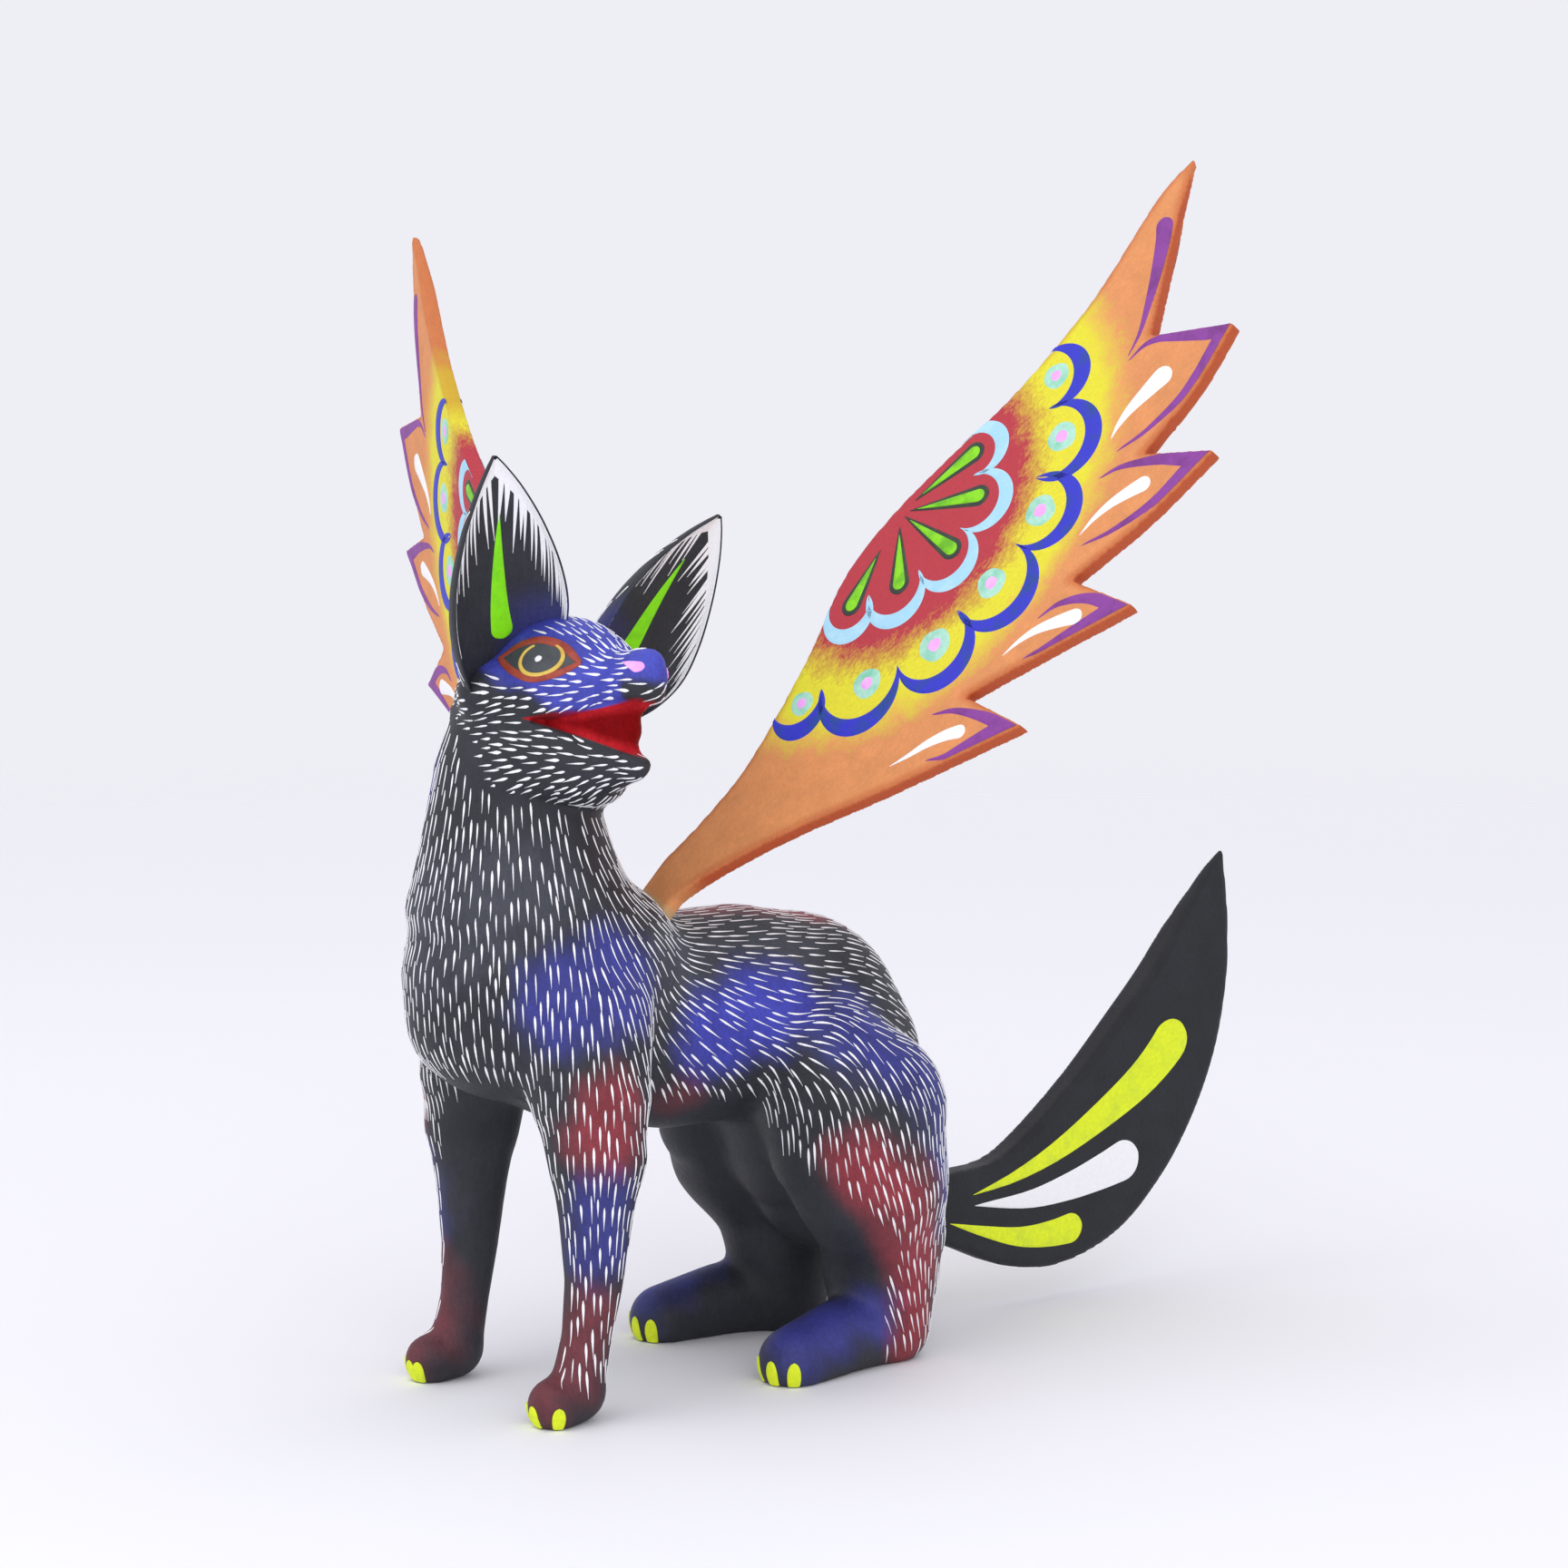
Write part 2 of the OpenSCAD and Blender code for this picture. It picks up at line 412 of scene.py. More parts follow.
class Coat:
    """Strokes of one paint on one body, which become one piece."""

    def __init__(self):
        self.points, self.faces, self.count = [], [], 0

    def add(self, grids):
        """Adds sheets of points, each (rows, columns, 3). Their faces look along rows x columns."""
        grids = grids.reshape(-1, *grids.shape[-3:])
        n, rows, columns = grids.shape[:3]
        index = np.arange(n * rows * columns).reshape(n, rows, columns) + self.count
        self.faces.append(np.stack([index[:, :-1, :-1], index[:, 1:, :-1], index[:, 1:, 1:],
                                    index[:, :-1, 1:]], -1).reshape(-1, 4))
        self.points.append(grids.reshape(-1, 3))
        self.count += n * rows * columns

    def lay(self, place, u, v, lift):
        """Adds a sheet of places (u, v) on a surface, and turns its faces outwards."""
        grid = place(u, v, lift)
        out = place(u, v, lift + 1) - grid
        face = np.cross(np.gradient(grid, axis=0), np.gradient(grid, axis=1))
        self.add(grid if (face * out).sum() > 0 else grid[::-1])

    def piece(self, name, body, slot, material):
        return make_piece(name, body, material, np.vstack(self.points), np.vstack(self.faces))


ACROSS = np.array([-1, -0.86, -0.45, 0.45, 0.86, 1])
DOME = np.array([-0.25, 0.65, 1, 1, 0.65, -0.25])


def ribbon(coat, place, path, half, thick=PAINT):
    """A band of paint along path, a list of places on the surface, with its half widths."""
    ahead = unit(np.gradient(path, axis=0))
    side = np.stack([-ahead[:, 1], ahead[:, 0]], -1)
    half = np.maximum(half, 0.04)
    uv = path[:, None] + (half[:, None] * ACROSS)[..., None] * side[:, None]
    coat.lay(place, uv[..., 0], uv[..., 1], np.tile(thick * DOME, (len(path), 1)))


def drop(coat, place, points, half, thick=PAINT):
    """A teardrop along points, from its thin end to its round end."""
    length = np.linalg.norm(np.diff(np.array(points, float), axis=0), axis=1).sum()
    at = 1 - (1 - np.linspace(0, 1, 26)) ** 1.9
    belly = 1 - min(half / length, 0.5)
    swell = np.clip(at / belly, 0, 1) ** 0.85
    end = np.sqrt(np.clip(1 - (np.clip(at - belly, 0, None) / (1 - belly)) ** 2, 0, 1))
    ribbon(coat, place, curve(points, at), half * swell * end, thick)


def disc(coat, place, centre, radius, thick=PAINT):
    """A round dot with a slightly uneven rim."""
    spin = np.linspace(0, 2 * np.pi, 33)
    wobble = 1 + 0.03 * np.sin(3 * spin + 7 * centre[0]) + 0.02 * np.sin(5 * spin + 3 * centre[1])
    rings = np.array([0.02, 0.4, 0.75, 0.94, 1])[:, None]
    x, y = radius * rings * wobble * np.cos(spin), radius * rings * wobble * np.sin(spin)
    lift = thick * (1 - 1.25 * rings ** 6) * np.ones_like(x)
    coat.lay(place, centre[0] + x, centre[1] + y, lift)


def filled(coat, place, upper, lower, thick=PAINT):
    """Fills between two lines of the same number of places, which meet at both ends."""
    across = np.linspace(0, 1, 7)[None, :, None]
    uv = upper[:, None] * (1 - across) + lower[:, None] * across
    edge = np.minimum(across[..., 0], 1 - across[..., 0])
    height = np.minimum(thick, 0.3 * np.linalg.norm(upper - lower, axis=-1))[:, None]
    coat.lay(place, uv[..., 0], uv[..., 1], height * np.clip(edge * 12, 0, 1) - 0.03)


# ---- the carved body

# Chains of balls, each x, y, z and radius
TRUNK = [(0, -30, 92, 25), (0, -4, 89.5, 27), (0, 18, 89.5, 27), (0, 35.2, 84, 29.4), (0, 42, 74, 28.8),
         (0, 46, 58, 26), (0, 50, 46, 22)]
LEG_CHAINS = [
    [(18, -42, 96, 19), (25, -42.5, 78, 14.5), (27.5, -42.5, 64, 11.5)],
    [(27.5, -42.5, 64, 11.5), (27.5, -43, 48, 8.8), (27.5, -43.5, 34, 7.2), (27, -45.5, 20, 6.1),
     (27, -48, 9, 6.6)],
    [(27, -48, 6, 6.2), (27.5, -55, 5, 6.8)],
    [(20, 28, 80, 18), (26.4, 38.4, 66, 21.8), (26.3, 41.6, 48, 19.4)],
    [(20, 28, 80, 16), (24, 30, 57, 15), (22, 46, 36, 13)],
    [(26.3, 41.6, 48, 19.4), (22.4, 48.5, 33, 16.3), (21, 49.5, 22, 14.9), (21, 49.5, 9, 12.6)],
    [(22, 49, 9, 11), (25.5, 32, 8, 9.6), (28, 16, 5, 8.8)],
]
# The two swellings in front, each a centre and its three radii
CHEST = (0, -39.5, 106), (31, 35.5, 26)
BREAST = (0, -41, 94.5), (28.5, 33.2, 21.5)
# Centre line and radius of the neck by height: z, y, radius
NECK = np.array([(100, -40, 28), (121, -45.3, 28.6), (136, -47, 23.5), (146, -47.5, 21), (158, -46, 20),
                 (168, -44, 18)])

HEAD_AT = np.array([2, -42, 170])
HEAD_TURN = turned(-13, -8, 8)
SKULL = [(0, 0, 0, 20), (10.5, 0, 2.5, 18.6)]
MUZZLE = [(10, 0, 4, 16), (22, 0, 5, 10.2), (30, 0, 4, 7.4), (37, 0, 4.6, 6.2)]
NOSE = [(36.5, 0, 7.4, 3.8), (39.5, 0, 7.7, 3.4)]
UPPER_LOBE = [(31, 2, 2, 5.2), (37.2, 2.4, 1.3, 4)]
JAW = [(4, 0, -6, 15), (22, 0, -15.5, 8.5), (35.4, 0, -15.6, 4.8)]
CHEEK = [(-3, 7, -11, 12), (5, 8, -14.5, 12), (18, 4, -16, 8.5)]
PALATE = [(6, 0, -5, 9), (22, 0, -4, 7), (34.5, 0, -0.8, 3.9)]
TONGUE = [(6, 0, -5, 9), (20, 0, -10, 7.5), (32.6, 0, -13.6, 4)]
THROAT = [(8, 0, -6, 8.5), (29.5, 0, -7.4, 6)]
EAR_ROOT = [(-3.5, 5, -10, 6.5), (-4.5, 0, -14, 8)]
# The mouth is a wedge cut from the side: its corner, and the slopes of both lips
MOUTH_CORNER = np.array([14, -6.2])
UPPER_LIP, LOWER_LIP = math.radians(10.9), math.radians(-18.6)

EAR_AT = np.array([9, 18, 9.6])
EAR_TURN = turned(-22.5, 15, 0) @ turned(0, 0, 5)

WING_T, WING_TENON, WING_TENON_W, WING_ROOT = 4.4, 13.0, 11.0, 8.0
WINGS = {"left": (np.array([8, -10, 121]), turned(35, -53.5, 60), 1),
         "right": (np.array([12, -20.5, 116]), turned(91, -48.7, 16.6), -1)}
TAIL_T, TAIL_TENON_H, TAIL_Y, TAIL_Z = 8.0, 13.0, 68.0, 31.0
FIT_GAP = 0.15


def head_local(points):
    return (points - HEAD_AT) @ HEAD_TURN


def head_world(points):
    return points @ HEAD_TURN.T + HEAD_AT


def ear_local(local, side):
    """From the head's frame to an ear's, where +Y is outwards and +Z up the ear."""
    return (local * (1, side, 1) - EAR_AT) @ EAR_TURN


def mouth_distance(local):
    """Distance into the mouth's wedge, negative inside, in the head's frame."""
    x, z = local[..., 0] - MOUTH_CORNER[0], local[..., 2] - MOUTH_CORNER[1]
    above = z * math.cos(UPPER_LIP) - x * math.sin(UPPER_LIP)
    below = x * math.sin(LOWER_LIP) - z * math.cos(LOWER_LIP)
    return np.maximum(above, below)


def head_distance(points):
    local = head_local(points)
    d = smooth_min(ball_chain(local, SKULL), ball_chain(local, MUZZLE), 4)
    d = smooth_min(d, ball_chain(local, NOSE), 1.6)
    for side in (1, -1):
        d = smooth_min(d, ball_chain(local * (1, side, 1), UPPER_LOBE), 1.2)
    d = smooth_min(d, ball_chain(local, JAW), 4)
    for side in (1, -1):
        d = smooth_min(d, ball_chain(local * (1, side, 1), CHEEK), 4)
        d = smooth_min(d, ball_chain(ear_local(local, side), EAR_ROOT), 5)
    d = -smooth_min(-d, mouth_distance(local), 1.0)
    mouth = smooth_min(ball_chain(local, PALATE), ball_chain(local, TONGUE), 2)
    mouth = smooth_min(mouth, ball_chain(local, THROAT), 2)
    return smooth_min(d, mouth, 0.5)


def neck_distance(points):
    z = points[..., 2]
    y, radius = (np.interp(z, NECK[:, 0], NECK[:, k]) for k in (1, 2))
    d = np.hypot(points[..., 0], points[..., 1] - y) - radius
    return np.maximum(d, np.abs(z - NECK[:, 0].mean()) - np.ptp(NECK[:, 0]) / 2)


def wing_local(points, side):
    at, turn, sign = WINGS[side]
    return (points * (sign, 1, 1) - at) @ turn


def wing_world(points, side):
    at, turn, sign = WINGS[side]
    return (points @ turn.T + at) * (sign, 1, 1)


def wing_slot(points, side):
    half = np.array([0, WING_TENON_W / 2 + FIT_GAP, WING_T / 2 + FIT_GAP])
    return box_distance(wing_local(points, side), (-WING_TENON, 0, 0) - half, (WING_ROOT + 4, 0, 0) + half)


def tail_slot(points):
    half = np.array([TAIL_T / 2 + FIT_GAP, 0, TAIL_TENON_H / 2 + FIT_GAP])
    return box_distance(points, (0, TAIL_START_Y, TAIL_Z) - half, (0, TAIL_Y + 30, TAIL_Z) + half)


def carve_body():
    """The torso alone, the head alone, and the whole figure."""
    low, high = (-52, -84, -4), (62, 76, 198)
    torso = Field(low, high, GRID)
    torso.add(lambda p: ball_chain(p, TRUNK), *around(TRUNK, 8))
    torso.add(lambda p: smooth_min(ellipsoid(p, *CHEST), ellipsoid(p, *BREAST), 4),
              (-40, -84, 60), (40, 6, 140), 4)
    torso.add(neck_distance, (-40, -84, 96), (40, -5, 172), 3)
    for chain in LEG_CHAINS:
        corner, far = around(chain, 8)
        for sign in (1, -1):
            sides = np.sort([sign * corner[0], sign * far[0]])
            torso.add(lambda p: ball_chain(p * (sign, 1, 1), chain), (sides[0], *corner[1:]),
                      (sides[1], *far[1:]), 2.5)
    torso.soften(2 if GRID == 1 else 1)
    head = Field(low, high, GRID)
    head.add(head_distance, (-32, -80, 130), (62, 2, 198))
    figure = Field(low, high, GRID)
    figure.d = smooth_min(torso.d, head.d, 1.6)
    for side in WINGS:
        figure.remove(lambda p: wing_slot(p, side), (-40, -50, 90), (50, 30, 145))
    figure.remove(tail_slot, (-12, 44, 18), (12, 76, 46))
    figure.d = np.maximum(figure.d, -figure.block(low, high)[1][..., 2]).astype(np.float32)
    return torso, head, figure


# Soft patches of colour: colour, strength, and a chain of balls that it fills, on both sides or,
# where x is negative, on the right side only
PATCHES = [
    # The two lighter grey patches below are painted highlights on the neck's front and the upper flanks
    (PAINTED_HIGHLIGHT, 0.7, [(0, -76, 118, 16), (22, -58, 128, 12)]),
    (PAINTED_HIGHLIGHT, 0.7, [(24, -20, 108, 9), (20, 22, 106, 8)]),
    (ROYAL, 0.6, [(29, -52, 103, 11), (31, -40, 106, 13)]),
    (ROYAL, 1.0, [(28, -6, 90, 10), (27, 8, 95, 11), (26, 16, 96, 7)]),
    (ROYAL, 0.6, [(32, 30, 88, 10), (38, 40, 80, 11), (41, 50, 62, 6), (38, 55, 38, 3)]),
    (BRICK, 0.9, [(40, -46, 79, 7), (38, -47, 71, 9)]),
    (BRICK, 0.4, [(22, -14, 73, 5)]),
    (ROYAL, 0.5, [(36, -47, 55, 7), (34, -47, 42, 7)]),
    (BRICK, 0.45, [(32, -47, 28, 6), (29, -52, 12, 7), (29, -58, 8, 6)]),
    (BRICK, 0.95, [(41, 27, 56, 8), (42, 38, 46, 9), (36, 50, 22, 6), (33, 50, 6, 6)]),
    (ROYAL, 0.55, [(32, 38, 14, 5), (31, 28, 14, 7), (31, 16, 10, 8)]),
    (BRICK, 0.9, [(0, 4, 118, 4), (0, 26, 118, 7), (0, 46, 108, 8), (0, 60, 90, 6), (0, 68, 74, 4)]),
    (ROYAL, 0.6, [(-14, -62, 154, 7)]),
]


def body_tint(points, head_share):
    """The painted colour of each point of the body, with a lighter grey painted on as highlights on the
    neck's front and the upper flanks.
    """
    mirrored = np.abs(points * (1, 0, 0)) + points * (0, 1, 1)
    uneven = 0.8 * np.sin(points @ (0.31, 0.42, 0.27)) + 0.5 * np.sin(points @ (-0.6, 0.35, 0.53))
    tint = np.tile(CHARCOAL, (len(points), 1))
    for paint, strength, chain in PATCHES:
        where = points if chain[0][0] < 0 else mirrored
        reach = ball_chain(where, [chain[0][:2] + (chain[0][2] - 1, chain[0][3])] + chain)
        share = strength * ramp(reach + uneven, 6, -5)[:, None] * (1 - head_share[:, None])
        tint = tint * (1 - share) + paint * share
    local = head_local(points)
    x, z = local[:, 0], local[:, 2]
    blue = ramp(z - (8 - 0.53 * x) + uneven, -2.5, 2.5) * ramp(x + 0.4 * z, -7, 2)
    blue *= 1 - ramp(x, 35.5, 38) * ramp(z, 4.5, 1.5)
    blue = (0.95 * blue * head_share)[:, None]
    return tint * (1 - blue) + FACE_BLUE * blue


# ---- ears

EAR_LOW, EAR_TIP = -16.0, 48.0
# By height: half width, front edge and depth behind it, outside; then the cup's depth
EAR_SHAPE = np.array([(-16, 6, -4, 6, 1.5), (-8, 10.5, -1, 9, 4), (0, 14.2, 2, 11.5, 6),
                      (9, 16, 3.4, 12, 6.6), (19, 15, 3.2, 10.5, 5.6), (30, 11.4, 2.6, 8, 4),
                      (39, 6.9, 2, 5.2, 2.4), (45, 2.9, 1.4, 3, 1.3), (48, 0.5, 0.8, 1.2, 0.3)])
# How thick the wood is at the rim, and how wide the white band inside it is
EAR_RIM = 0.55
EAR_BAND = 3.9


def ear_shape(z):
    fine = curve(EAR_SHAPE, np.linspace(0, 1, 80))
    return [np.interp(z, fine[:, 0], fine[:, k]) for k in range(1, 5)]


def cup_arc(z):
    """The length across half of the cup at a height."""
    width, _, _, cup = ear_shape(z)
    return 1.57 * np.sqrt(((width - EAR_RIM) ** 2 + cup ** 2) / 2)


def ear_world(local, side):
    return head_world((local @ EAR_TURN.T + EAR_AT) * (1, side, 1))


def ear_cup(side):
    """Places inside the cup of an ear: u across it in mm, v up it."""
    def place(u, v, lift):
        width, front, _, cup = ear_shape(v)
        width = np.maximum(width - EAR_RIM, 0.2)
        angle = np.clip(u / cup_arc(v), -1, 1) * np.pi / 2
        point = np.stack([front - cup * np.cos(angle), width * np.sin(angle), v], -1)
        out = unit(np.stack([np.cos(angle) / cup, -np.sin(angle) / width, 0 * v], -1))
        return ear_world(point + out * np.asarray(lift)[..., None], side)
    return place


def ear_back(side):
    """Places on the back of an ear: u is an angle from the middle, v the height."""
    def place(u, v, lift):
        width, front, depth, _ = ear_shape(v)
        angle = u / np.maximum(width, 1)
        point = np.stack([front - depth * np.cos(angle), width * np.sin(angle), v], -1)
        out = unit(np.stack([-np.cos(angle) / depth, np.sin(angle) / width, 0 * v], -1))
        return ear_world(point + out * np.asarray(lift)[..., None], side)
    return place


def ear_skin(side):
    """A thick cupped leaf: rings of points, each up the back and down the cup."""
    rows, columns = 56, 25
    z = EAR_LOW + (EAR_TIP - EAR_LOW) * np.linspace(0, 1, rows) ** 0.9
    width, front, depth, cup = (a[:, None] for a in ear_shape(z))
    angle = np.linspace(-np.pi / 2, np.pi / 2, columns)[None]
    back = np.stack([front - depth * np.cos(angle), width * np.sin(angle), z[:, None] + 0 * angle], -1)
    inner = np.maximum(width - EAR_RIM, 0.3 * width)
    cupped = np.stack([front - cup * np.cos(angle), inner * np.sin(angle), z[:, None] + 0 * angle], -1)
    rim = (back[:, -1] + cupped[:, -1]) / 2 + (0.35, 0, 0)
    other = (back[:, 0] + cupped[:, 0]) / 2 + (0.35, 0, 0)
    ring = np.concatenate([back, rim[:, None], cupped[:, ::-1], other[:, None]], 1)
    n = ring.shape[1]
    index = np.arange(rows * n).reshape(rows, n)
    turn = np.roll(index, -1, axis=1)
    sides = np.stack([index[:-1], turn[:-1], turn[1:], index[1:]], -1).reshape(-1, 4)
    points = ring.reshape(-1, 3)
    lids = []
    for ring_index, near, far in ((index[0], slice(0, n // 2 - 1), slice(1, n // 2)),
                                  (index[-1], slice(1, n // 2), slice(0, n // 2 - 1))):
        back_way = ring_index[::-1]
        lids.append(np.stack([ring_index[near], ring_index[far], back_way[far], back_way[near]], -1))
    faces = np.vstack([sides, *lids])
    if side < 0:
        faces = faces[:, ::-1]
    return points, faces


def paint_ears(side, name):
    points, faces = ear_skin(side)
    blue = 0.45 * (ramp(points[:, 2], 18, 2) * ramp(points[:, 1], 3, -9))[:, None]
    tint = CHARCOAL * (1 - blue) + ROYAL * blue
    ear = make_piece(name + "_leaf", "root", WOOD_PAINT, ear_world(points, side), faces,
                     {"tint": tint, "grain": points, "lip": np.full(len(points), 9.0)})
    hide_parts(name)

    cup, back = ear_cup(side), ear_back(side)
    white, green = Coat(), Coat()
    for edge in (-1, 1):
        v = np.linspace(2, EAR_TIP - 0.9, 48)
        across = cup_arc(v) - 0.1
        band = np.minimum(EAR_BAND * (0.12 + 0.88 * ramp(v, 6, 42)), across + 0.6)
        ribbon(white, cup, np.stack([edge * (across - band / 2), v], -1), band / 2)
        for k in range(20):
            start = 8 + 1.85 * k + rng.uniform(-0.5, 0.5)
            reach = rng.uniform(9, 17) * ramp(start, -6, 26)
            root = max(float(cup_arc(start)) - EAR_BAND * (0.12 + 0.6 * ramp(start, 6, 42)), 1.1)
            line = [(edge * (root - 0.07 * reach * t), start - reach * t) for t in (1, 0.5, 0)]
            drop(white, cup, line, rng.uniform(0.4, 0.78))
    for _ in range(60):
        v = rng.uniform(-6, 40)
        w = float(ear_shape(v)[0])
        u = rng.choice((-1, 1)) * w * rng.uniform(0.3, 1.45)
        drop(white, back, [(u * 0.97, v - rng.uniform(4, 6)), (u, v)], rng.uniform(0.28, 0.36), 0.12)
    drop(green, cup, [(-0.8, 34), (-0.4, 22), (0.4 * side, 11), (side, 2.6)], 2.4)
    white.piece(name + "_white_spikes", "root", "painted_ear", WHITE_PAINT)
    green.piece(name + "_green_drop", "root", "painted_ear", GREEN_PAINT)


# ---- fur strokes

# How wide a stroke is, from its root to its tip
STROKE_SHAPE = np.array([0.3, 0.9, 1, 0.8, 0.52, 0.28, 0.06])


def flow(points, normals, head_share):
    """Which way the fur grows, from root to tip, along the surface."""
    y, z, x = points[..., 1], points[..., 2], np.abs(points[..., 0])
    thigh = ramp(y, 18, 32) * ramp(z + 0.5 * (y - 30), 96, 84) * ramp(x, 12, 20)
    tilt = np.radians(np.interp(y, (-46, -30, -12, 5, 20), (2, 24, 50, 63, 72)))
    tilt = tilt * ramp(z, 58, 88) + np.radians(16) * ramp(z, 98, 114) * ramp(y, -30, -5)
    torso = np.stack([0 * y, np.sin(tilt), -np.cos(tilt)], -1)
    leg = unit(np.stack([0.1 * np.sign(points[..., 0]), 0.3 + 0 * y, -np.ones_like(y)], -1))
    torso = torso * (1 - thigh[..., None]) + leg * thigh[..., None]
    local = head_local(points)
    aside = -0.7 * ramp(local[..., 0], 33, 38)
    rear = np.stack([-np.ones_like(y), aside, 0.02 + 0.18 * ramp(local[..., 2], 4, 14)], -1) @ HEAD_TURN.T
    share = head_share[..., None]
    way = unit(torso) * (1 - share) + rear * share
    return unit(way - (way * normals).sum(-1, keepdims=True) * normals)


def in_eye(local, grow):
    across = (local[..., 0] - EYE_X) / (EYE_REACH + grow)
    up = (local[..., 2] - EYE_Z) / (EYE_HALF + grow)
    return across ** 2 + up ** 2 < 1


def in_ear(points, grow):
    local = head_local(points)
    hit = np.zeros(points.shape[:-1], bool)
    for side in (1, -1):
        at = ear_local(local, side)
        width, front, depth, _ = ear_shape(at[..., 2])
        hit |= ((np.abs(at[..., 1]) < width + grow) & (at[..., 0] < front + grow + 1)
                & (at[..., 0] > front - depth - grow) & (at[..., 2] > -7 - grow))
    return hit


def furry(points, normals, head_share):
    """Whether a place on the body carries fur strokes."""
    x, y, z = np.abs(points[:, 0]), points[:, 1], points[:, 2]
    outward = normals[:, 0] * np.sign(points[:, 0])
    local = head_local(points)
    on_head = head_share > 0.5
    face = (mouth_distance(local) > 0.8) & ~in_eye(local, 1.3) & ~in_ear(points, 1.2)
    face &= (local[:, 0] < 39) | (local[:, 2] < 3.5)
    belly = (normals[:, 2] < -0.55) & (z < 92) & (z > 40)
    front_leg = (y < -25) & (z < 78)
    front_ok = (outward > -0.25 + 0.35 * ramp(z, 70, 40)) & (z > 13)
    front_ok &= (outward > 0.1) | (normals[:, 1] < -0.75)
    hind = (y > 5) & (z < 84)
    edge = 66 - (y - 11) * 31 / 29
    hind_ok = (outward > 0.15) & np.where(z > 35, z > edge, y > 41) & (x > 14)
    hind_ok |= (normals[:, 1] > 0.55) & (z > 8)
    coat = ~belly & np.where(front_leg, front_ok, True) & np.where(hind, hind_ok, True)
    coat &= (z > 6) & (tail_slot(points) > 2)
    for side in WINGS:
        coat &= wing_slot(points, side) > 1.5
    return np.where(on_head, face, coat & ~in_ear(points, 2))


def scatter(points, ways, along, across):
    """Picks places in a random order, none nearer the others than a stroke needs."""
    chosen = np.zeros(len(points), bool)
    kept = np.empty((12000, 3))
    count = 0
    for i in rng.permutation(len(points)):
        gap = kept[:count] - points[i]
        run = gap @ ways[i]
        wide = (gap * gap).sum(1) - run ** 2
        if count == 0 or ((run / along[i]) ** 2 + wide / across[i] ** 2).min() > 1:
            chosen[i] = True
            kept[count] = points[i]
            count += 1
            if count == len(kept):
                break
    return chosen


def paint_fur(torso, head, figure, surface):
    """White tapered strokes all over the coat, each a thin raised drop of paint."""
    def share(points):
        return ramp(head.sample(points) - torso.sample(points), 1.0, -1.0)

    normals = figure.normal(surface)
    owner = share(surface)
    keep = furry(surface, normals, owner)
    roots, normals, owner = surface[keep], normals[keep], owner[keep]
    ways = flow(roots, normals, owner)
    along, across = 5.9 - 2.3 * owner, 1.6 - 0.2 * owner
    chosen = scatter(roots, ways, along, across)
    roots, owner = roots[chosen], owner[chosen]
    n = len(roots)
    length = (6.2 - 2.2 * owner) * rng.uniform(0.75, 1.2, n)
    half = (0.31 + 0.06 * owner) * rng.uniform(0.65, 1.3, n)

    def trace(length):
        """The strokes' middle lines, and which of them end on the part that they start on."""
        line = [figure.settle(roots)]
        for _ in STROKE_SHAPE[1:]:
            p = line[-1]
            way = flow(p, figure.normal(p), np.round(owner))
            line.append(figure.settle(p + way * (length / (len(STROKE_SHAPE) - 1))[:, None]))
        return np.stack(line, 1), np.round(share(line[-1])) == np.round(owner)

    line, stays = trace(length)
    line, stays = trace(np.where(stays, length, 0.45 * length))
    line, half = line[stays], half[stays]
    side = unit(np.cross(figure.normal(line), np.gradient(line, axis=1)))
    spread = half[:, None, None] * STROKE_SHAPE[None, :, None] * np.array([1, 0, -1])
    grid = line[:, :, None] + spread[..., None] * side[:, :, None]
    lift = np.broadcast_to([-0.04, 0.15, -0.04], grid.shape[:-1])
    white = Coat()
    white.add(figure.settle(grid, lift))
    white.piece("fur_strokes", "root", "painted_body", WHITE_PAINT)


# ---- face and claws

EYE_X, EYE_Z, EYE_REACH, EYE_HALF = 17.1, 7.8, 9.4, 5.3
RING_X = 18.3
NOSTRIL = [(36.3, 7.2), (39, 6.5), (41.8, 5.5)]


def face_side(figure, side):
    """Places on a side of the head: u along the muzzle, v up, in the head's frame."""
    def place(u, v, lift):
        start = head_world(np.stack([u, np.full_like(u, side * 26.0), v], -1))
        inward = HEAD_TURN @ (0, -side, 0)
        return figure.settle(figure.march(start, inward), lift)
    return place


def paint_face(figure):
    rim, iris, ring, pupil, pink = Coat(), Coat(), Coat(), Coat(), Coat()
    left, right = (EYE_X - EYE_REACH - 1.4, EYE_Z + 0.8), (EYE_X + EYE_REACH, EYE_Z - 0.7)
    over = [left, (EYE_X - 5, EYE_Z + 4.1), (EYE_X, EYE_Z + 4.9), (EYE_X + 5, EYE_Z + 3.2), right]
    under = [left, (EYE_X - 5, EYE_Z - 3), (EYE_X + 0.5, EYE_Z - 4.9), (EYE_X + 5.5, EYE_Z - 3.6), right]
    at = np.linspace(0, 1, 40)
    for side in (1, -1):
        place = face_side(figure, side)
        filled(iris, place, curve(over, at), curve(under, at), 0.1)
        for lid in (over, under):
            ribbon(rim, place, curve(lid, at), 0.45 + 0.55 * np.sin(np.pi * at) ** 0.5, 0.32)
        spin = np.radians(np.linspace(120, 420, 40))
        loop = np.stack([RING_X + 4.7 * np.cos(spin), EYE_Z - 0.1 + 4.0 * np.sin(spin)], -1)
        ribbon(ring, place, loop, 0.2 + 0.36 * np.sin(np.pi * at) ** 0.6, 0.42)
        disc(pupil, place, (RING_X - 0.2, EYE_Z), 0.85, 0.3)
        drop(pink, place, NOSTRIL, 1.4, 0.25)
    pieces = {"eye_rims": (rim, RUST_PAINT), "eyes_dark": (iris, IRIS_PAINT), "eye_rings": (ring, GOLD_PAINT),
              "eye_pupils": (pupil, WHITE_PAINT), "nostrils": (pink, PINK_PAINT)}
    for name, (coat, material) in pieces.items():
        coat.piece(name, "root", "painted_body", material)


